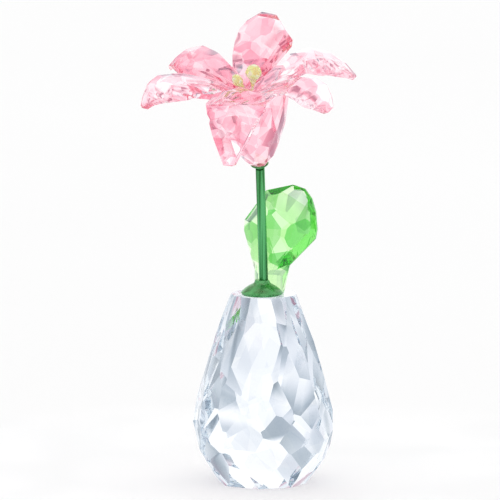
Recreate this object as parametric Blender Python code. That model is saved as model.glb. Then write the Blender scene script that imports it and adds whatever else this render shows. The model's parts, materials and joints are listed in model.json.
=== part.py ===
"""A cut-crystal lily ornament: one bloom and one leaf that stand on a solid, faceted crystal vase.

Lengths are metres and angles are degrees, with +Z up. The origin is the centre of the vase's flat
base. +X is the right of the front view, and the bloom leans towards -Y, the front.
"""

import math
import random
from collections import namedtuple

import bmesh
import bpy
from mathutils import Matrix, Vector

# Clearance between neighbouring pieces
GAP = 0.0002

# Vase, a solid egg cut flat above and below
VASE_HEIGHT = 0.0420
VASE_FOOT_RADIUS = 0.0096
VASE_BELLY_RADIUS = 0.0148
VASE_BELLY_HEIGHT = 0.0114
VASE_RIM_RADIUS = 0.0070
VASE_LOWER_CORNER_HEIGHT = 0.0066
VASE_UPPER_CORNER_HEIGHT = 0.0216
VASE_AXIS_X = 0.0003
VASE_SEED = 11
VASE_SCATTER = 0.22
SCATTER_ALONG = 0.25

# Collar, a shallow metal dome with a flat for the leaf's foot
COLLAR_RADIUS = 0.0047
COLLAR_CENTRE = Vector((-0.0001, -0.0016, VASE_HEIGHT + GAP))
COLLAR_EDGE = 0.0003
COLLAR_CROWN = 0.0026
BOSS_RADIUS = 0.0016
BOSS_HEIGHT = 0.0031
BOSS_FOOT_RADIUS = 0.0024
BOSS_SWEEP = 0.0003
DOME_STEPS = 6
SWEEP_STEPS = 5

# Stem, a straight rod let into the collar
STEM_RADIUS = 0.0010
STEM_FOOT = Vector((0.0003, -0.0016, VASE_HEIGHT + 0.0012))

# Bloom: where its foot sits, how it leans and how far up its throat is
BLOOM_FOOT = Vector((-0.00071, -0.0020, 0.0715))
BLOOM_FORWARD = 24.0
BLOOM_LEFT = 6.7
THROAT_HEIGHT = 0.0194
CUP_RADIUS = 0.0020
CUP_HEIGHT = 0.0011
CUP_LIP = 0.0002

# Receptacle, the bell under the petals, and the pit that seats them
BELL_FOOT_RADIUS = 0.0018
BELL_RIM_RADIUS = 0.0091
BELL_RIM_LIFT = 0.0035
BELL_CORNER = Vector((0.0062, -0.0150))
BELL_SEED = 5
BELL_SCATTER = 0.18
PIT_DEPTH = 0.0029
PIT_SLOPE = 0.50

# Stamens: foot in the throat, direction, radius of the bead, facets round it and whole length
PIN_RADIUS = 0.00025
PIN_LIFT = 0.0006
Stamen = namedtuple("Stamen", "foot axis bead sides length")
STAMENS = {
    "stamen_long": Stamen((0.0004, 0.0003), (0.17, 0.0, 1.0), 0.0018, 8, 0.0076),
    "stamen_short": Stamen((-0.0001, -0.0003), (-0.50, 0.06, 1.0), 0.0012, 6, 0.0064),
}

# The bead's outline, as shares of its radius and of the stamen's length
BEAD_PROFILE = ((0.50, 0.55), (0.94, 0.68), (1.0, 0.78), (0.80, 0.92), (0.38, 1.0), (0.0, 1.0))
PIN_SHARE = 0.30

# Petals
PETAL_ROOT = Vector((0.0012, -0.0013))
PETAL_ROOT_WIDTH = 0.0009
PETAL_SEAT_RADIUS = 0.0103
PETAL_CROWN = 46.0
PETAL_TROUGH = 9.0
PETAL_EDGE_TILT = 0.35
PETAL_EDGE_DROP = 0.0006
PETAL_FACET_OFFSET = 0.0025
PETAL_SWEEP_RADIUS = 0.009
PETAL_ROWS = (
    (0.0, (0.12, 0.33, 0.52, 0.72, 0.92)),
    (0.62, (0.22, 0.43, 0.63, 0.83)),
    (-0.62, (0.27, 0.48, 0.68, 0.88)),
)
PETAL_ROW_SCATTER = 0.10
PETAL_EDGES = (0.08, 0.28, 0.48, 0.66, 0.82, 0.94)
PETAL_SHARE_SCATTER = 0.03
PETAL_STEP = 0.01
PETAL_UNDER_FACETS = ((0.36, (-1, 1)), (0.56, (0,)), (0.74, (-1, 1)), (0.92, (0,)), (1.0, (0,)))

# Leaf: the directions and reach of its sides, and the turns of the facets on its front and back
LEAF_FOOT = Vector((0.00145, 0.0009, VASE_HEIGHT))
LEAF_TURN = -20.0
LEAF_LEAN = 8.0
LEAF_CENTRE = Vector((0.0020, 0.0, 0.0145))
LEAF_HALF_THICKNESS = 0.0024
LEAF_EDGE = 0.00045
LEAF_NECK = 0.0110
LEAF_SIDES = (
    (-43, 0.0074),
    (-8, 0.0084),
    (8, 0.0084),
    (20, 0.0088),
    (41, 0.0097),
    (75, 0.0099),
    (104, 0.0087),
    (145, 0.0076),
    (180, 0.0084),
    (199, 0.0083),
)
LEAF_RING_REACH = 0.0060
LEAF_RING_DEPTH = 0.0017
LEAF_FRONT_RING = (-58, -12, 36, 80, 126, 172, 222)
LEAF_BACK_RING = (-40, 14, 58, 104, 152, 204)
LEAF_FRONT_TILTS = (58, 73)
LEAF_BACK_TILTS = (62, 77)
STALK_HALF_WIDTH = 0.0031
STALK_HALF_THICKNESS = 0.0014
STALK_HEIGHT = 0.0088
STALK_SHOULDER = 0.0046
STALK_TAPER = 0.42
STALK_FLARE = 0.06
STALK_LEFT_FLARE = 0.03
STALK_RIGHT_FLARE = 0.20
STALK_CHAMFER = 0.0009
CHAMFER_SLANT = 0.55

# Round pieces, and the size and closeness that the cutting works with
ROUND_SIDES = 48
CREASE_ANGLE = 35.0
REACH = 0.09
MERGE = 1e-6
ON_PLANE = 1e-8

# Each petal: its azimuth and how far its blade is swept to one side, then its crest's tip and corner
# as (radius, lift), the radius of the corner underneath, its thickness at the tip, its greatest half
# width, the share of the way along where that is, its half width at the tip, and the seed of its facets
Petal = namedtuple("Petal", "azimuth sweep tip corner under thick belly widest point seed")
PETALS = {
    "petal_back": Petal(
        81, -19, (0.0174, 0.0085), (0.0075, 0.0062), 0.0140, 0.0027, 0.0050, 0.75, 0.0018, 1
    ),
    "petal_left_back": Petal(
        153, 0, (0.0194, 0.0022), (0.0135, 0.0118), 0.0170, 0.0010, 0.0048, 0.50, 0.0007, 2
    ),
    "petal_left_front": Petal(
        195, 0, (0.0240, 0.0016), (0.0203, 0.0122), 0.0195, 0.0010, 0.0049, 0.50, 0.0007, 3
    ),
    "petal_front": Petal(
        259, -9, (0.0200, -0.0075), (0.0133, 0.0140), 0.0143, 0.0010, 0.0061, 0.50, 0.0011, 4
    ),
    "petal_right_front": Petal(
        329, 0, (0.0206, -0.0013), (0.0174, 0.0088), 0.0145, 0.0010, 0.0041, 0.58, 0.0012, 5
    ),
    "petal_right_back": Petal(
        13, 0, (0.0237, -0.0030), (0.0170, 0.0107), 0.0160, 0.0010, 0.0053, 0.52, 0.0006, 6
    ),
}


def clear_scene():
    for thing in list(bpy.data.objects):
        bpy.data.objects.remove(thing, do_unlink=True)


def material(name, colour, roughness, metallic=0.0, transmission=0.0):
    made = bpy.data.materials.new(name)
    made.use_nodes = True
    shader = made.node_tree.nodes["Principled BSDF"]
    shader.inputs["Base Color"].default_value = (*colour, 1.0)
    shader.inputs["Roughness"].default_value = roughness
    shader.inputs["Metallic"].default_value = metallic
    shader.inputs["Transmission Weight"].default_value = transmission
    made.diffuse_color = (*colour, 1.0)
    return made


def piece(name, shape, finish, parent=None, smooth=False):
    """An object from a bmesh, which this frees."""
    bmesh.ops.remove_doubles(shape, verts=shape.verts[:], dist=MERGE)
    bmesh.ops.recalc_face_normals(shape, faces=shape.faces[:])
    mesh = bpy.data.meshes.new(name)
    shape.to_mesh(mesh)
    shape.free()
    if smooth:
        mesh.shade_smooth()
        mesh.set_sharp_from_angle(angle=math.radians(CREASE_ANGLE))
    made = bpy.data.objects.new(name, mesh)
    bpy.context.scene.collection.objects.link(made)
    made.parent = parent
    if finish:
        mesh.materials.append(finish)
    return made


def helper(name, shape, parent=None):
    """A cutter or a joining shape that only a Boolean uses."""
    made = piece(name, shape, None, parent)
    made.hide_render = True
    made.display_type = "WIRE"
    return made


def boolean(target, other, operation):
    step = target.modifiers.new(other.name, "BOOLEAN")
    step.operation = operation
    step.solver = "EXACT"
    step.object = other


def slice_off(shape, point, normal):
    """Take away all that lies beyond a plane and close the cut."""
    whole = shape.verts[:] + shape.edges[:] + shape.faces[:]
    side = normal.normalized()
    cut = bmesh.ops.bisect_plane(
        shape, geom=whole, dist=ON_PLANE, plane_co=point, plane_no=side, clear_outer=True
    )
    rim = [part for part in cut["geom_cut"] if isinstance(part, bmesh.types.BMEdge)]
    if rim:
        bmesh.ops.edgeloop_fill(shape, edges=rim)


def cut_block(planes):
    """A convex solid: a large block cut by each plane, given as a point and its outward normal."""
    shape = bmesh.new()
    bmesh.ops.create_cube(shape, size=2 * REACH)
    for point, normal in planes:
        slice_off(shape, point, normal)
    return shape


def turned(profile, sides):
    """A solid of revolution about Z. The profile runs from the lower end on the axis to the upper one."""
    shape = bmesh.new()
    rings = []
    for radius, height in profile:
        if radius < MERGE:
            rings.append([shape.verts.new((0.0, 0.0, height))])
            continue
        ring = []
        for step in range(sides):
            angle = math.tau * step / sides
            ring.append(shape.verts.new((radius * math.cos(angle), radius * math.sin(angle), height)))
        rings.append(ring)
    for lower, upper in zip(rings, rings[1:]):
        for step in range(sides):
            after = (step + 1) % sides
            corners = [lower[step % len(lower)], lower[after % len(lower)]]
            corners += [upper[after % len(upper)], upper[step % len(upper)]]
            shape.faces.new(list(dict.fromkeys(corners)))
    return shape


def curve_point(curve, share):
    """Point and unit tangent on a curve given as its start, the corner that it bends round and its end."""
    start, corner, end = curve
    first = start.lerp(corner, share)
    last = corner.lerp(end, share)
    return first.lerp(last, share), (last - first).normalized()


def ring_of_facets(curve, share, count, turn, rng, scatter):
    """Planes that touch a turned surface all round, where the curve gives (radius, height)."""
    planes = []
    for step in range(count):
        angle = math.tau * (step + turn + rng.uniform(-scatter, scatter)) / count
        shift = rng.uniform(-scatter, scatter) * SCATTER_ALONG
        here = min(max(share + shift, 0.0), 1.0)
        point, tangent = curve_point(curve, here)
        around = Vector((math.cos(angle), math.sin(angle), 0.0))
        normal = around * tangent.y + Vector((0.0, 0.0, -tangent.x))
        planes.append((around * point.x + Vector((0.0, 0.0, point.y)), normal))
    return planes


def build_vase(finish):
    rng = random.Random(VASE_SEED)
    foot = Vector((VASE_FOOT_RADIUS, 0.0))
    belly = Vector((VASE_BELLY_RADIUS, VASE_BELLY_HEIGHT))
    rim = Vector((VASE_RIM_RADIUS, VASE_HEIGHT))
    lower = (foot, Vector((VASE_BELLY_RADIUS, VASE_LOWER_CORNER_HEIGHT)), belly)
    upper = (belly, Vector((VASE_BELLY_RADIUS, VASE_UPPER_CORNER_HEIGHT)), rim)
    up = Vector((0.0, 0.0, 1.0))
    planes = [(up * VASE_HEIGHT, up), (Vector((0.0, 0.0, 0.0)), -up)]
    rows = (
        (upper, 0.97, 11, 0.00),
        (upper, 0.80, 12, 0.40),
        (upper, 0.56, 12, 0.05),
        (upper, 0.27, 11, 0.55),
        (lower, 0.98, 10, 0.10),
        (lower, 0.66, 11, 0.60),
        (lower, 0.36, 10, 0.15),
        (lower, 0.06, 9, 0.00),
    )
    for curve, share, count, turn in rows:
        planes += ring_of_facets(curve, share, count, turn, rng, VASE_SCATTER)
    vase = piece("vase", cut_block(planes), finish)
    vase.location.x = VASE_AXIS_X


def build_collar(finish):
    """The dome is a spherical cap that sweeps up into a boss round the stem."""
    depth = COLLAR_CROWN - COLLAR_EDGE
    ball = (COLLAR_RADIUS**2 + depth**2) / (2 * depth)
    profile = [(0.0, 0.0), (COLLAR_RADIUS - COLLAR_EDGE, 0.0), (COLLAR_RADIUS, COLLAR_EDGE)]
    for step in range(1, DOME_STEPS + 1):
        radius = COLLAR_RADIUS + (BOSS_FOOT_RADIUS - COLLAR_RADIUS) * step / DOME_STEPS
        profile.append((radius, COLLAR_CROWN - ball + math.sqrt(ball**2 - radius**2)))
    foot = Vector(profile[-1])
    sweep = (foot, Vector((BOSS_RADIUS, foot.y + BOSS_SWEEP)), Vector((BOSS_RADIUS, BOSS_HEIGHT)))
    for step in range(1, SWEEP_STEPS + 1):
        profile.append(tuple(curve_point(sweep, step / SWEEP_STEPS)[0]))
    profile.append((0.0, BOSS_HEIGHT))
    shape = turned(profile, ROUND_SIDES)
    bmesh.ops.translate(shape, verts=shape.verts[:], vec=COLLAR_CENTRE)

    # The flat behind, against the leaf's foot
    behind = Matrix.Rotation(math.radians(LEAF_TURN), 3, "Z") @ Vector((0.0, 1.0, 0.0))
    slice_off(shape, LEAF_FOOT - behind * (STALK_HALF_THICKNESS + 2 * GAP), behind)
    collar = piece("collar", shape, finish, smooth=True)

    # The hole for the stem, open at the top
    radius = STEM_RADIUS + GAP
    top = 2 * BOSS_HEIGHT
    bore = turned(((0.0, -GAP), (radius, -GAP), (radius, top), (0.0, top)), ROUND_SIDES)
    cutter = helper("collar_bore", bore)
    cutter.location = STEM_FOOT
    cutter.rotation_euler = stem_axis().to_track_quat("Z", "Y").to_euler()
    boolean(collar, cutter, "DIFFERENCE")


def bloom_axes():
    """Right, back and up of the bloom, with up along its own axis."""
    forward = math.radians(BLOOM_FORWARD)
    left = math.radians(BLOOM_LEFT)
    up = Vector((-math.sin(left), -math.sin(forward) * math.cos(left), math.cos(forward) * math.cos(left)))
    right = Vector((1.0, 0.0, 0.0))
    right = (right - up * right.dot(up)).normalized()
    return right, up.cross(right), up


def bloom_empty():
    """The frame of the bloom, with its origin in the throat."""
    right, back, up = bloom_axes()
    frame = Matrix((right, back, up)).transposed().to_4x4()
    frame.translation = BLOOM_FOOT + up * THROAT_HEIGHT
    empty = bpy.data.objects.new("bloom", None)
    bpy.context.scene.collection.objects.link(empty)
    empty.matrix_world = frame
    return empty


def cup_foot():
    return BLOOM_FOOT - bloom_axes()[2] * (CUP_HEIGHT + GAP)


def stem_axis():
    return cup_foot() - STEM_FOOT


def build_stem(finish):
    """The rod is cut square to the bloom's axis just below the cup."""
    length = stem_axis().length + 2 * STEM_RADIUS
    rod = turned(((0.0, 0.0), (STEM_RADIUS, 0.0), (STEM_RADIUS, length), (0.0, length)), ROUND_SIDES)
    turn = stem_axis().to_track_quat("Z", "Y").to_matrix().to_4x4()
    bmesh.ops.transform(rod, matrix=Matrix.Translation(STEM_FOOT) @ turn, verts=rod.verts[:])
    up = bloom_axes()[2]
    slice_off(rod, cup_foot() - up * GAP, up)
    piece("stem", rod, finish, smooth=True)


def build_cup(finish, bloom):
    """A small trumpet between the stem and the bell."""
    base = -THROAT_HEIGHT - GAP - CUP_HEIGHT
    sweep = (
        Vector((STEM_RADIUS, base)),
        Vector((STEM_RADIUS, base + CUP_HEIGHT / 2)),
        Vector((CUP_RADIUS, base + CUP_HEIGHT - CUP_LIP)),
    )
    profile = [(0.0, base)]
    profile += [tuple(curve_point(sweep, step / SWEEP_STEPS)[0]) for step in range(SWEEP_STEPS + 1)]
    profile += [(CUP_RADIUS, base + CUP_HEIGHT), (0.0, base + CUP_HEIGHT)]
    piece("calyx_cup", turned(profile, ROUND_SIDES), finish, bloom, smooth=True)


def build_bell(finish, bloom):
    """The bell is cut in four rings of long facets, and its pit has one flat for each petal."""
    rng = random.Random(BELL_SEED)
    base = -THROAT_HEIGHT
    curve = (Vector((BELL_FOOT_RADIUS, base)), BELL_CORNER, Vector((BELL_RIM_RADIUS, BELL_RIM_LIFT)))
    up = Vector((0.0, 0.0, 1.0))
    planes = [(up * base, -up), (up * 2 * BELL_RIM_LIFT, up)]
    for share, count, turn in ((0.06, 8, 0.3), (0.32, 9, 0.0), (0.60, 9, 0.5), (0.92, 9, 0.1)):
        planes += ring_of_facets(curve, share, count, turn, rng, BELL_SCATTER)
    bell = piece("receptacle", cut_block(planes), finish, bloom)
    floor = up * (-PIT_DEPTH - GAP)
    flats = []
    for petal in PETALS.values():
        angle = math.radians(petal.azimuth)
        outward = Vector((math.cos(angle), math.sin(angle), 0.0))
        flats.append((floor, outward * PIT_SLOPE - up))
    boolean(bell, helper("receptacle_pit", cut_block(flats), bloom), "DIFFERENCE")


def half_width(petal, share):
    """Half the petal's width along its crest: two parabolas that meet at the widest place."""
    if share < petal.widest:
        away = (petal.widest - share) / petal.widest
        return petal.belly - (petal.belly - PETAL_ROOT_WIDTH) * away**2
    away = (share - petal.widest) / (1 - petal.widest)
    return petal.belly - (petal.belly - petal.point) * away**2


def crest_of(petal):
    return PETAL_ROOT, Vector(petal.corner), Vector(petal.tip)


def swept(petal, planes):
    """The planes turned to one side about an upright line through the middle of the petal's blade."""
    turn = Matrix.Rotation(math.radians(petal.sweep), 3, "Z")
    pivot = Vector((PETAL_SWEEP_RADIUS, 0.0, 0.0))
    return [(turn @ (point - pivot) + pivot, turn @ normal) for point, normal in planes]


def wedge_planes(petal):
    """The planes that part a petal from its neighbours and from the stamens, through the bloom's axis."""
    turns = [(other.azimuth - petal.azimuth + 180) % 360 - 180 for other in PETALS.values()]
    after = min(turn for turn in turns if turn > 0) / 2
    before = max(turn for turn in turns if turn < 0) / 2
    planes = [(Vector((PETAL_ROOT.x, 0.0, 0.0)), Vector((-1.0, 0.0, 0.0)))]
    for half, side in ((after, 1), (before, -1)):
        angle = math.radians(half)
        normal = Vector((-math.sin(angle), math.cos(angle), 0.0)) * side
        planes.append((normal * (-GAP / 2), normal))
    return planes


def top_planes(petal, rng):
    """Three rows of facets along the upper side, which is crowned across."""
    planes = []
    for across, shares in PETAL_ROWS:
        for share in shares:
            here = share + rng.uniform(-PETAL_SHARE_SCATTER, PETAL_SHARE_SCATTER)
            point, tangent = curve_point(crest_of(petal), here)
            row = across + rng.uniform(-PETAL_ROW_SCATTER, PETAL_ROW_SCATTER)
            offset = row * half_width(petal, here)
            normal = Vector((-tangent.y, 2 * PETAL_CROWN * offset, tangent.x))
            touch = Vector((point.x, offset, point.y)) - normal * PETAL_CROWN * offset**2
            planes.append((touch, normal))
    return planes


def edge_planes(petal, rng):
    """The cut edges round the outline, tipped a little to face upwards."""
    end, tangent = curve_point(crest_of(petal), 1.0)
    planes = [(Vector((end.x, 0.0, end.y)), Vector((tangent.x, 0.0, tangent.y)))]
    for share in PETAL_EDGES:
        for side in (1, -1):
            here = share + rng.uniform(-PETAL_SHARE_SCATTER, PETAL_SHARE_SCATTER)
            point, tangent = curve_point(crest_of(petal), here)
            ahead = curve_point(crest_of(petal), here + PETAL_STEP)[0]
            width = half_width(petal, here)
            slope = (half_width(petal, here + PETAL_STEP) - width) / (ahead - point).length
            lean = Vector((-tangent.y, 0.0, tangent.x)) * PETAL_EDGE_TILT
            normal = Vector((-slope * tangent.x, side, -slope * tangent.y)) + lean
            planes.append((Vector((point.x, side * width, point.y)) - lean * PETAL_EDGE_DROP, normal))
    return planes


def underside_planes(petal):
    """The top of the solid that hollows out a petal's underside, which starts on the pit's flat."""
    end, tangent = curve_point(crest_of(petal), 1.0)
    inner_end = end - Vector((-tangent.y, tangent.x)) * petal.thick
    seat = Vector((PETAL_SEAT_RADIUS, PETAL_SEAT_RADIUS * PIT_SLOPE - PIT_DEPTH))
    corner = Vector((petal.under, petal.under * PIT_SLOPE - PIT_DEPTH))
    planes = [(Vector((seat.x, 0.0, seat.y)), Vector((-PIT_SLOPE, 0.0, 1.0)))]
    for share, sides in PETAL_UNDER_FACETS:
        point, tangent = curve_point((seat, corner, inner_end), share)
        for side in sides:
            offset = side * PETAL_FACET_OFFSET
            normal = Vector((-tangent.y, 2 * PETAL_TROUGH * offset, tangent.x))
            planes.append((Vector((point.x, offset, point.y)), normal))
    return planes


def build_petals(finish, bloom):
    """The frame of each petal has X running outwards, Y across and Z along the bloom's axis."""
    for name, petal in PETALS.items():
        rng = random.Random(petal.seed)
        outside = wedge_planes(petal) + swept(petal, top_planes(petal, rng) + edge_planes(petal, rng))
        turn = (0.0, 0.0, math.radians(petal.azimuth))
        blade = piece(name, cut_block(outside), finish, bloom)
        blade.rotation_euler = turn
        hollow = helper(name + "_hollow", cut_block(underside_planes(petal)), bloom)
        hollow.rotation_euler = turn
        boolean(blade, hollow, "DIFFERENCE")


def build_stamens(finish, bloom):
    """Each is a cut bead on a stalk that tapers to a pin in the throat."""
    for name, stamen in STAMENS.items():
        profile = [(0.0, 0.0), (PIN_RADIUS, 0.0), (PIN_RADIUS, PIN_SHARE * stamen.length)]
        profile += [(stamen.bead * wide, stamen.length * up) for wide, up in BEAD_PROFILE]
        made = piece(name, turned(profile, stamen.sides), finish, bloom)
        made.location = (*stamen.foot, PIN_LIFT - PIT_DEPTH)
        made.rotation_euler = Vector(stamen.axis).to_track_quat("Z", "Y").to_euler()


def side_normal(direction, tilt=0.0, front=0):
    """A direction in the leaf's plane, tipped towards its front (-1) or its back (1)."""
    angle = math.radians(direction)
    lean = math.radians(tilt)
    flat = Vector((math.cos(angle), 0.0, math.sin(angle)))
    return flat * math.cos(lean) + Vector((0.0, front, 0.0)) * math.sin(lean)


def leaf_blade():
    """The blade is cut like a flat stone: straight sides, two rings of facets and a table on each face."""
    planes = [(LEAF_CENTRE + side_normal(angle) * reach, side_normal(angle)) for angle, reach in LEAF_SIDES]
    planes.append((LEAF_CENTRE + side_normal(-90) * LEAF_NECK, side_normal(-90)))
    faces = ((-1, LEAF_FRONT_TILTS, LEAF_FRONT_RING), (1, LEAF_BACK_TILTS, LEAF_BACK_RING))
    for front, (outer, inner), ring in faces:
        face = Vector((0.0, front, 0.0))
        planes.append((LEAF_CENTRE + face * LEAF_HALF_THICKNESS, face))
        for angle, reach in LEAF_SIDES:
            edge = LEAF_CENTRE + side_normal(angle) * reach + face * LEAF_EDGE
            planes.append((edge, side_normal(angle, outer, front)))
        for angle in ring:
            touch = LEAF_CENTRE + side_normal(angle) * LEAF_RING_REACH + face * LEAF_RING_DEPTH
            planes.append((touch, side_normal(angle, inner, front)))
    return cut_block(planes)


def leaf_stalk(down):
    """A chamfered foot, cut level at the bottom, that widens and then thins away inside the blade."""
    up = Vector((0.0, 0.0, 1.0))
    planes = [(down * -GAP, down), (up * STALK_HEIGHT, up)]
    for side, flare in ((-1, STALK_LEFT_FLARE), (1, STALK_RIGHT_FLARE)):
        planes.append((Vector((side * STALK_HALF_WIDTH, 0.0, 0.0)), Vector((side, 0.0, -flare))))
        face = Vector((0.0, side * STALK_HALF_THICKNESS, 0.0))
        planes.append((face, Vector((0.0, side, -STALK_FLARE))))
        planes.append((face + up * STALK_SHOULDER, Vector((0.0, side, STALK_TAPER))))
        for front in (-1, 1):
            corner = Vector((side * (STALK_HALF_WIDTH - STALK_CHAMFER), front * STALK_HALF_THICKNESS, 0.0))
            planes.append((corner, Vector((side * CHAMFER_SLANT, front, -STALK_FLARE))))
    return cut_block(planes)


def build_leaf(finish):
    """The leaf leans back as a whole, so its level foot is slanted in its own frame."""
    turn = Matrix.Rotation(math.radians(LEAF_TURN), 4, "Z")
    lean = Matrix.Rotation(math.radians(-LEAF_LEAN), 4, "X")
    down = lean.inverted().to_3x3() @ Vector((0.0, 0.0, -1.0))
    leaf = piece("leaf", leaf_blade(), finish)
    stalk = helper("leaf_stalk", leaf_stalk(down))
    leaf.matrix_world = Matrix.Translation(LEAF_FOOT) @ turn @ lean
    stalk.matrix_world = leaf.matrix_world
    boolean(leaf, stalk, "UNION")


def main():
    clear_scene()
    clear = material("clear_crystal", (0.93, 0.95, 0.97), 0.0, transmission=1.0)
    pink = material("pink_crystal", (0.98, 0.62, 0.70), 0.0, transmission=1.0)
    green = material("green_crystal", (0.55, 0.88, 0.50), 0.0, transmission=1.0)
    yellow = material("yellow_crystal", (0.90, 0.88, 0.42), 0.0, transmission=1.0)
    metal = material("green_metal", (0.07, 0.30, 0.11), 0.35, metallic=0.4)
    bloom = bloom_empty()
    build_vase(clear)
    build_collar(metal)
    build_stem(metal)
    build_cup(metal, bloom)
    build_bell(pink, bloom)
    build_petals(pink, bloom)
    build_stamens(yellow, bloom)
    build_leaf(green)


main()
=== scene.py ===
"""The looks of the cut-crystal lily ornament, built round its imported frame.

Lengths are metres and angles are degrees, with +Z up. The front of the ornament faces -Y.
"""

import json
import math
from collections import namedtuple

import bmesh
import bpy
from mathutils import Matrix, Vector

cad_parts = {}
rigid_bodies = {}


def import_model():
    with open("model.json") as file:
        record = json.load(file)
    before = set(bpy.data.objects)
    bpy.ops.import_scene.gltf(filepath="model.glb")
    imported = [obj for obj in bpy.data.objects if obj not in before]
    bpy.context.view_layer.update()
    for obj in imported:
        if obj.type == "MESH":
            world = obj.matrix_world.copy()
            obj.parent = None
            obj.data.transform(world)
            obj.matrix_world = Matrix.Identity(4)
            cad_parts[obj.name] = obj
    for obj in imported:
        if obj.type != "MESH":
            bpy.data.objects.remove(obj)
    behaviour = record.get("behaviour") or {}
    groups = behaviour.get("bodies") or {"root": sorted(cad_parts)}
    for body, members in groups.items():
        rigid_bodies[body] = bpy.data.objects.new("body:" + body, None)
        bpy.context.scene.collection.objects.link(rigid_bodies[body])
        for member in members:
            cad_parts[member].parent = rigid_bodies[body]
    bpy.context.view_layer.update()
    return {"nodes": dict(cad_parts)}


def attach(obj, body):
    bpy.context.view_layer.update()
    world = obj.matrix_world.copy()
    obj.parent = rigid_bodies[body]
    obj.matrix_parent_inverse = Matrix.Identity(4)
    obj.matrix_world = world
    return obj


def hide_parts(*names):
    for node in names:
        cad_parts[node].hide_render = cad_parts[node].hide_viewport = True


# The photograph's view: a long lens, a little above the level of the vase. A pixel is this many metres on the
# ornament, and the base pixel shows the middle of the vase's foot. The sensor is in millimetres.
PIXEL = 0.0002215
PICTURE = 500
CAMERA_RISE = 9.0
CAMERA_DISTANCE = 1.5
CAMERA_NEAR = 0.05
CAMERA_FAR = 20.0
BASE_PIXEL = (262.5, 480.4)
SENSOR = 36.0

# How often light may bounce. It meets many facets before it leaves a stone.
LIGHT_BOUNCES = 48

# Even light from all round
WORLD_LIGHT = 1.06

# The floor: half its side, how many cells a side has, and the hair's breadth that it lies below the vase
FLOOR_HALF = 4.0
FLOOR_CELLS = 8
FLOOR_GAP = 0.00005

# The floor's paper
PAPER_PATCHES = 3.0
PAPER_TONES = ((0.925, 0.925, 0.925), (0.935, 0.935, 0.935))
PAPER_ROUGHNESS = 0.9
PAPER_SHINE = 0.1

# Noise: its scale where its place is scaled already, how many finer layers it has, and the values between
# which a mottled colour drifts
UNSCALED = 1.0
SOFT_DETAIL = 2.0
MOTTLE_STEPS = (0.35, 0.65)

# Cut crystal. Corners closer than the weld are one corner, and faces that turn from each other by less than
# the coplanar angle are one facet. Edges that turn by more than the stone angle are rounded.
CRYSTAL_IOR = 1.55
WELD = 1e-6
COPLANAR = 0.4
STONE_EDGE = 0.00004
PETAL_EDGE = 0.00008
STONE_ANGLE = 4.0
EDGE_SEGMENTS = 2

# Stones: how many patches of painted facet light there are to a metre, the tones of those patches from dark
# to light, which are the stone's own colour with painted shade and painted reflection in the darker ones and
# painted highlight in the lightest, the colour that builds up in the depth of the stone and how fast it does,
# and the share of the light that goes through the stone. Each patch has a chance value, and the patch steps
# are the values of the three tones.
PATCH_STEPS = (0.15, 0.50, 0.85)
ROSE_TINT = (0.92, 0.28, 0.42)
Stone = namedtuple("Stone", "patches tones tint density pass_share", defaults=(1.0,))
STONES = {
    "clear": Stone(
        patches=150.0,
        tones=((0.88, 0.90, 0.94), (0.96, 0.97, 0.99), (1.0, 1.0, 1.0)),
        tint=(0.48, 0.62, 0.72),
        density=5.0,
    ),
    # One rose crystal in four copies, made lighter or darker as painted light and painted shade on the pieces
    # they go to
    "rose": Stone(
        patches=270.0,
        tones=((0.93, 0.40, 0.51), (1.0, 0.64, 0.72), (1.0, 0.97, 0.98)),
        tint=ROSE_TINT,
        density=33.0,
    ),
    "lit_rose": Stone(
        patches=300.0,
        tones=((0.96, 0.50, 0.60), (1.0, 0.80, 0.86), (1.0, 1.0, 1.0)),
        tint=ROSE_TINT,
        density=15.0,
    ),
    "front_lit_rose": Stone(
        patches=300.0,
        tones=((0.97, 0.56, 0.66), (1.0, 0.86, 0.91), (1.0, 1.0, 1.0)),
        tint=ROSE_TINT,
        density=13.0,
    ),
    "bell_rose": Stone(
        patches=260.0,
        tones=((0.94, 0.48, 0.58), (1.0, 0.76, 0.83), (1.0, 0.97, 0.98)),
        tint=ROSE_TINT,
        density=13.0,
    ),
    "green": Stone(
        patches=225.0,
        tones=((0.10, 0.56, 0.09), (0.78, 0.96, 0.61), (0.97, 1.0, 0.88)),
        tint=(0.20, 0.88, 0.06),
        density=110.0,
    ),
    "yellow": Stone(
        patches=1100.0,
        tones=((0.92, 0.80, 0.34), (0.88, 1.0, 0.50), (0.98, 1.0, 0.80)),
        tint=(0.78, 0.92, 0.05),
        density=60.0,
        pass_share=0.32,
    ),
}

# Which stone each piece of the bloom is given. All are one rose crystal with one tint, in copies that differ
# only in lightness as painted light and painted shade: darker on the back and left-back petals, lighter on
# the other petals and the bell, and lightest on the front petal.
BLOOM = {
    "petal_back": "rose",
    "petal_left_back": "rose",
    "petal_right_back": "lit_rose",
    "petal_left_front": "lit_rose",
    "petal_right_front": "lit_rose",
    "petal_front": "front_lit_rose",
    "receptacle": "bell_rose",
}
STAMENS = ("stamen_long", "stamen_short")

# The vase's height and the stem's radius, the gap that the frame leaves between neighbours, and the hair's
# breadth that keeps two faces out of one plane
VASE_HEIGHT = 0.0420
STEM_RADIUS = 0.0010
GAP = 0.0002
SEAT = 0.00002

# How near to the stem's axis the corners of the collar's hole are, how near in height to the stem's ends the
# corners of its end rings are, how near along the axis to a piece's upper end the corners that move up are,
# and the height of a unit normal below which a face is a level underside
HOLE_REACH = STEM_RADIUS + 1.5 * GAP
FOOT_REACH = STEM_RADIUS
HEAD_REACH = 2 * STEM_RADIUS
TOP_RING = {"stem": 0.0006, "calyx_cup": 0.0004}
UNDERSIDE = -0.99

# The metal's rounded edges, and how much an edge turns before it is rounded
METAL_EDGE = 0.00005
METAL_ANGLE = 40.0

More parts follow.
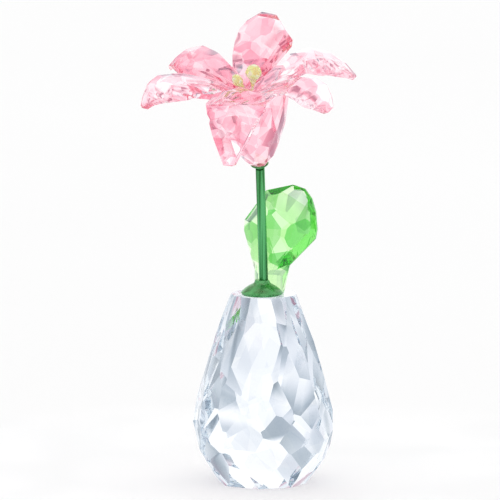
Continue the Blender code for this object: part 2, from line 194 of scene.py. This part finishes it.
# Lacquer: its two tones, how many patches of them there are to a metre along each axis, and its fine grain
Lacquer = namedtuple("Lacquer", "low high patches")
PLAIN_LACQUER = Lacquer((0.070, 0.300, 0.095), (0.110, 0.390, 0.140), (500.0, 500.0, 500.0))
# The stem's lacquer is drawn out into light and dark streaks down its length, which are painted reflections
PAINTED_REFLECTION_LACQUER = Lacquer((0.018, 0.150, 0.032), (0.100, 0.420, 0.150), (1300.0, 1300.0, 30.0))
LACQUER_STEPS = (0.40, 0.60)
LACQUER_METAL = 0.75
LACQUER_ROUGHNESS = 0.24
GRAIN_PATCHES = 2600.0
GRAIN_DETAIL = 3.0
GRAIN_STRENGTH = 0.12
GRAIN_DEPTH = 0.00004

# The silvering of a glued seat
SILVER_PATCHES = 900.0
SILVER_TONES = ((0.90, 0.91, 0.93), (0.95, 0.96, 0.97))
SILVER_ROUGHNESS = 0.05

# The light tent, a drum with a domed top that ends a hair's breadth above the floor
TENT_RADIUS = 0.10
TENT_WALL = 0.12
TENT_DOME = 0.09
TENT_FLOOR = -0.00002
TENT_STEPS = 8
TENT_SIDES = 64

# Its cards: how bright they are, how many there are to a metre along each axis, where their pattern starts,
# how many finer layers it has, the heights between which the low tones give way to the high ones, and a belt
# between the vase's belly and the bloom, as heights with how much the tones are lifted there
TENT_STRENGTH = 1.155
TENT_PATCHES = (42.0, 42.0, 16.0)
TENT_SHIFT = (3.3, 0.0, 1.1)
TENT_DETAIL = 1.0
TENT_CHANGE = (0.045, 0.075)
TENT_BELT = ((0.018, 0.0), (0.035, 0.09), (0.070, 0.09), (0.090, 0.0))

# The cards' tones from the darkest to white, low down round the vase and higher up round the bloom
LOW_TONES = (
    (0.35, (0.24, 0.29, 0.34)),
    (0.42, (0.48, 0.54, 0.60)),
    (0.49, (0.77, 0.80, 0.85)),
    (0.56, (1.0, 1.0, 1.0)),
)
HIGH_TONES = (
    (0.34, (0.50, 0.26, 0.34)),
    (0.41, (0.85, 0.60, 0.66)),
    (0.47, (0.97, 0.88, 0.90)),
    (0.54, (1.0, 1.0, 1.0)),
)

# The colour mixer's sockets by number, because its other kinds of value use the same names
MIX_SHARE = 0
MIX_FIRST = 6
MIX_SECOND = 7
MIX_RESULT = 2


def clear_scene():
    for thing in list(bpy.data.objects):
        bpy.data.objects.remove(thing, do_unlink=True)


def node(tree, kind, **values):
    made = tree.nodes.new(kind)
    for name, value in values.items():
        setattr(made, name, value)
    return made


def blank_material(name):
    made = bpy.data.materials.new(name)
    made.use_nodes = True
    tree = made.node_tree
    return made, tree, tree.nodes["Principled BSDF"]


def piece_place(tree):
    """Where a point is on its own piece."""
    return node(tree, "ShaderNodeTexCoord").outputs["Object"]


def noise(tree, place, scale, detail):
    """Soft noise over the place, from zero to one."""
    made = node(tree, "ShaderNodeTexNoise")
    made.inputs["Scale"].default_value = scale
    made.inputs["Detail"].default_value = detail
    tree.links.new(place, made.inputs["Vector"])
    return made.outputs["Fac"]


def toned(tree, tones, value):
    """A colour ramp through the tones."""
    ramp = node(tree, "ShaderNodeValToRGB")
    stops = ramp.color_ramp.elements
    stops[0].position = tones[0][0]
    stops[0].color = (*tones[0][1], 1.0)
    stops[1].position = tones[-1][0]
    stops[1].color = (*tones[-1][1], 1.0)
    for position, colour in tones[1:-1]:
        stops.new(position).color = (*colour, 1.0)
    tree.links.new(value, ramp.inputs["Fac"])
    return ramp.outputs["Color"]


def mottled(tree, scale, tones):
    """A colour that drifts between two near ones over the piece."""
    drift = noise(tree, piece_place(tree), scale, SOFT_DETAIL)
    return toned(tree, tuple(zip(MOTTLE_STEPS, tones)), drift)


def colour_with_painted_facet_light(tree, scale, tones):
    """Flat patches of nearby tones, each with straight sides: the stone's own colour with painted highlight,
    painted shade and painted reflection, as light that the cut breaks up.
    """
    cells = node(tree, "ShaderNodeTexVoronoi")
    cells.inputs["Scale"].default_value = scale
    chance = node(tree, "ShaderNodeSeparateColor")
    tree.links.new(piece_place(tree), cells.inputs["Vector"])
    tree.links.new(cells.outputs["Color"], chance.inputs["Color"])
    return toned(tree, tuple(zip(PATCH_STEPS, tones)), chance.outputs["Red"])


def crystal(name, stone):
    """Polished crystal, coloured by its patches of painted facet light over its own colour and by how far the
    light goes through it.
    """
    made, tree, shader = blank_material(name)
    tree.links.new(colour_with_painted_facet_light(tree, stone.patches, stone.tones), shader.inputs["Base Color"])
    shader.inputs["Roughness"].default_value = 0.0
    shader.inputs["IOR"].default_value = CRYSTAL_IOR
    shader.inputs["Transmission Weight"].default_value = stone.pass_share
    body = node(tree, "ShaderNodeVolumeAbsorption")
    body.inputs["Color"].default_value = (*stone.tint, 1.0)
    body.inputs["Density"].default_value = stone.density
    out = tree.nodes["Material Output"]
    tree.links.new(body.outputs["Volume"], out.inputs["Volume"])
    return made


def lacquer(name, coat):
    """Green lacquer over metal, either mottled in its own tones or drawn out into light and dark streaks that
    are painted reflections, with a fine unevenness.
    """
    made, tree, shader = blank_material(name)
    place = piece_place(tree)
    drawn = node(tree, "ShaderNodeMapping")
    drawn.inputs["Scale"].default_value = coat.patches
    tree.links.new(place, drawn.inputs["Vector"])
    drift = noise(tree, drawn.outputs["Vector"], UNSCALED, SOFT_DETAIL)
    # The mottle is the lacquer's own tone; drawn out into streaks it is painted reflection.
    mottle_and_painted_streaks = toned(tree, tuple(zip(LACQUER_STEPS, (coat.low, coat.high))), drift)
    tree.links.new(mottle_and_painted_streaks, shader.inputs["Base Color"])
    shader.inputs["Metallic"].default_value = LACQUER_METAL
    shader.inputs["Roughness"].default_value = LACQUER_ROUGHNESS
    bump = node(tree, "ShaderNodeBump")
    bump.inputs["Strength"].default_value = GRAIN_STRENGTH
    bump.inputs["Distance"].default_value = GRAIN_DEPTH
    tree.links.new(noise(tree, place, GRAIN_PATCHES, GRAIN_DETAIL), bump.inputs["Height"])
    tree.links.new(bump.outputs["Normal"], shader.inputs["Normal"])
    return made


def silvering(name):
    """The bright backing of a glued seat, which hides the metal from inside the stone."""
    made, tree, shader = blank_material(name)
    tree.links.new(mottled(tree, SILVER_PATCHES, SILVER_TONES), shader.inputs["Base Color"])
    shader.inputs["Metallic"].default_value = 1.0
    shader.inputs["Roughness"].default_value = SILVER_ROUGHNESS
    return made


def paper(name):
    """The pale sweep that the ornament stands on."""
    made, tree, shader = blank_material(name)
    tree.links.new(mottled(tree, PAPER_PATCHES, PAPER_TONES), shader.inputs["Base Color"])
    shader.inputs["Roughness"].default_value = PAPER_ROUGHNESS
    shader.inputs["Specular IOR Level"].default_value = PAPER_SHINE
    return made


def placed(name, shape, finish):
    """An object from a bmesh, with its one finish."""
    mesh = bpy.data.meshes.new(name)
    shape.to_mesh(mesh)
    shape.free()
    mesh.materials.append(finish)
    made = bpy.data.objects.new(name, mesh)
    bpy.context.scene.collection.objects.link(made)
    return made


def put(name, shape, finish, slot, *nodes):
    """A piece from a bmesh, which rides on the body and stands for the frame's nodes."""
    made = placed(name, shape, finish)
    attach(made, "root")
    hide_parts(*nodes)
    return made


def closed_copy(frame, name):
    """The frame's own surface with its corners joined."""
    shape = bmesh.new()
    shape.from_mesh(frame["nodes"][name].data)
    bmesh.ops.remove_doubles(shape, verts=shape.verts[:], dist=WELD)
    bmesh.ops.recalc_face_normals(shape, faces=shape.faces[:])
    return shape


def polished_edges(made, width, angle):
    """A fine rounded edge that leaves the faces flat."""
    made.data.shade_smooth()
    step = made.modifiers.new("edges", "BEVEL")
    step.width = width
    step.segments = EDGE_SEGMENTS
    step.limit_method = "ANGLE"
    step.angle_limit = math.radians(angle)
    step.harden_normals = True
    step.use_clamp_overlap = True


def cut_stone(name, frame, finish, slot, edge=STONE_EDGE):
    """The frame's facets as one closed skin."""
    shape = closed_copy(frame, name)
    bmesh.ops.dissolve_limit(
        shape, angle_limit=math.radians(COPLANAR), verts=shape.verts[:], edges=shape.edges[:]
    )
    made = put(name + "_cut", shape, finish, slot, name)
    polished_edges(made, edge, STONE_ANGLE)
    made.visible_shadow = False
    return made


def lower_foot(made, height):
    """Seat a piece on the vase's top, across the glue's gap."""
    low = min(vertex.co.z for vertex in made.data.vertices)
    for vertex in made.data.vertices:
        if vertex.co.z < low + WELD:
            vertex.co.z = height


def back_seat(made, backing):
    """Silver the level underside that is glued to the vase."""
    made.data.materials.append(backing)
    for face in made.data.polygons:
        if face.normal.z < UNDERSIDE:
            face.material_index = 1


def build_stones(frame, backing):
    """The vase, the bloom, the stamens and the leaf, each in its own crystal."""
    finish = {name: crystal(name + "_crystal", stone) for name, stone in STONES.items()}
    cut_stone("vase", frame, finish["clear"], "clear_crystal")
    for name, rose in BLOOM.items():
        cut_stone(name, frame, finish[rose], "pink_crystal", PETAL_EDGE)
    for name in STAMENS:
        cut_stone(name, frame, finish["yellow"], "yellow_crystal")
    leaf = cut_stone("leaf", frame, finish["green"], "green_crystal")
    lower_foot(leaf, VASE_HEIGHT + SEAT)
    back_seat(leaf, backing)


def ends_of(mesh):
    """Centres of the lowest and the highest ring of corners along a rod."""
    places = sorted((vertex.co.copy() for vertex in mesh.vertices), key=lambda place: place.z)
    low = [place for place in places if place.z < places[0].z + FOOT_REACH]
    high = [place for place in places if place.z > places[-1].z - HEAD_REACH]
    return sum(low, Vector()) / len(low), sum(high, Vector()) / len(high)


def close_hole(collar, foot, axis):
    """Draw the collar's hole in until it touches the stem."""
    for vertex in collar.data.vertices:
        along = (vertex.co - foot).dot(axis)
        out = vertex.co - foot - axis * along
        if out.length < HOLE_REACH:
            vertex.co -= out.normalized() * (GAP + SEAT)


def raise_end(made, axis, reach):
    """Move the upper end of a piece up the stem's axis to its neighbour."""
    length = max(vertex.co.dot(axis) for vertex in made.data.vertices)
    for vertex in made.data.vertices:
        if vertex.co.dot(axis) > length - reach:
            vertex.co += axis * (GAP - SEAT)


def build_metal(frame, backing):
    """Collar, stem and cup, each moved up to its neighbour across the gap that the frame leaves."""
    plain = lacquer("green_lacquer", PLAIN_LACQUER)
    # The stem's streaks are painted reflections.
    reflection_streaked = lacquer("painted_reflection_lacquer", PAINTED_REFLECTION_LACQUER)
    made = {}
    for name, coat in (("collar", plain), ("stem", reflection_streaked), ("calyx_cup", plain)):
        made[name] = put(name + "_lacquered", closed_copy(frame, name), coat, "green_metal", name)
    back_seat(made["collar"], backing)
    lower_foot(made["collar"], VASE_HEIGHT + SEAT)
    foot, top = ends_of(made["stem"].data)
    axis = (top - foot).normalized()
    close_hole(made["collar"], foot, axis)
    for name, reach in TOP_RING.items():
        raise_end(made[name], axis, reach)
    for thing in made.values():
        polished_edges(thing, METAL_EDGE, METAL_ANGLE)


def build_floor():
    shape = bmesh.new()
    bmesh.ops.create_grid(shape, x_segments=FLOOR_CELLS, y_segments=FLOOR_CELLS, size=FLOOR_HALF)
    floor = placed("floor", shape, paper("paper"))
    floor.location.z = -FLOOR_GAP


def tent_glow():
    """White with soft cards, which are grey low down and rosy higher up."""
    made = bpy.data.materials.new("tent")
    made.use_nodes = True
    tree = made.node_tree
    tree.nodes.clear()
    place = node(tree, "ShaderNodeNewGeometry").outputs["Position"]
    shift = node(tree, "ShaderNodeVectorMath", operation="MULTIPLY_ADD")
    shift.inputs[1].default_value = TENT_PATCHES
    shift.inputs[2].default_value = TENT_SHIFT
    tree.links.new(place, shift.inputs[0])
    cards = noise(tree, shift.outputs["Vector"], UNSCALED, TENT_DETAIL)
    split = node(tree, "ShaderNodeSeparateXYZ")
    tree.links.new(place, split.inputs["Vector"])
    belt = toned(tree, tuple((z, (lift,) * 3) for z, lift in TENT_BELT), split.outputs["Z"])
    tone = node(tree, "ShaderNodeMath", operation="ADD")
    tree.links.new(cards, tone.inputs[0])
    tree.links.new(belt, tone.inputs[1])
    height = node(tree, "ShaderNodeMapRange")
    height.inputs["From Min"].default_value = TENT_CHANGE[0]
    height.inputs["From Max"].default_value = TENT_CHANGE[1]
    tree.links.new(split.outputs["Z"], height.inputs["Value"])
    blend = node(tree, "ShaderNodeMix", data_type="RGBA")
    tree.links.new(height.outputs["Result"], blend.inputs[MIX_SHARE])
    tree.links.new(toned(tree, LOW_TONES, tone.outputs["Value"]), blend.inputs[MIX_FIRST])
    tree.links.new(toned(tree, HIGH_TONES, tone.outputs["Value"]), blend.inputs[MIX_SECOND])
    glow = node(tree, "ShaderNodeEmission")
    glow.inputs["Strength"].default_value = TENT_STRENGTH
    tree.links.new(blend.outputs[MIX_RESULT], glow.inputs["Color"])
    out = node(tree, "ShaderNodeOutputMaterial")
    tree.links.new(glow.outputs["Emission"], out.inputs["Surface"])
    return made


def tent_profile():
    """The tent's wall and dome as (radius, height), from the floor up."""
    profile = [(TENT_RADIUS, TENT_FLOOR), (TENT_RADIUS, TENT_WALL)]
    for step in range(1, TENT_STEPS + 1):
        angle = math.tau / 4 * step / TENT_STEPS
        profile.append((TENT_RADIUS * math.cos(angle), TENT_WALL + TENT_DOME * math.sin(angle)))
    return profile


def build_tent():
    """The light tent round the ornament. Only the crystal and the lacquer see it."""
    shape = bmesh.new()
    rings = []
    for radius, height in tent_profile():
        ring = []
        for step in range(TENT_SIDES):
            angle = math.tau * step / TENT_SIDES
            ring.append(shape.verts.new((radius * math.cos(angle), radius * math.sin(angle), height)))
        rings.append(ring)
    shape.faces.new(rings[0])
    for lower, upper in zip(rings, rings[1:]):
        for step in range(TENT_SIDES):
            after = (step + 1) % TENT_SIDES
            shape.faces.new((lower[step], lower[after], upper[after], upper[step]))
    tent = placed("tent", shape, tent_glow())
    tent.visible_camera = False
    tent.visible_diffuse = False
    tent.visible_shadow = False
    tent.visible_volume_scatter = False


def build_world():
    """Even white light from all round, for the floor and the lacquer."""
    world = bpy.data.worlds.new("studio")
    world.use_nodes = True
    bpy.context.scene.world = world
    back = world.node_tree.nodes["Background"]
    back.inputs["Color"].default_value = (1.0, 1.0, 1.0, 1.0)
    back.inputs["Strength"].default_value = WORLD_LIGHT


def build_camera():
    rise = math.radians(CAMERA_RISE)
    right = Vector((1.0, 0.0, 0.0))
    up = Vector((0.0, math.sin(rise), math.cos(rise)))
    ahead = Vector((0.0, math.cos(rise), -math.sin(rise)))
    across = (PICTURE / 2 - BASE_PIXEL[0]) * PIXEL
    high = (BASE_PIXEL[1] - PICTURE / 2) * PIXEL
    data = bpy.data.cameras.new("camera")
    data.lens = SENSOR * CAMERA_DISTANCE / (PICTURE * PIXEL)
    data.sensor_width = SENSOR
    data.clip_start = CAMERA_NEAR
    data.clip_end = CAMERA_FAR
    camera = bpy.data.objects.new("camera", data)
    bpy.context.scene.collection.objects.link(camera)
    camera.location = right * across + up * high - ahead * CAMERA_DISTANCE
    camera.rotation_euler = ahead.to_track_quat("-Z", "Y").to_euler()
    bpy.context.scene.camera = camera


def set_light_rules():
    """Plain colours, and enough bounces for the light inside the stones."""
    scene = bpy.context.scene
    scene.view_settings.view_transform = "Standard"
    scene.cycles.max_bounces = LIGHT_BOUNCES
    scene.cycles.transmission_bounces = LIGHT_BOUNCES
    scene.cycles.glossy_bounces = LIGHT_BOUNCES


def main():
    clear_scene()
    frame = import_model()
    backing = silvering("silvering")
    build_stones(frame, backing)
    build_metal(frame, backing)
    build_floor()
    build_tent()
    build_world()
    build_camera()
    set_light_rules()


main()
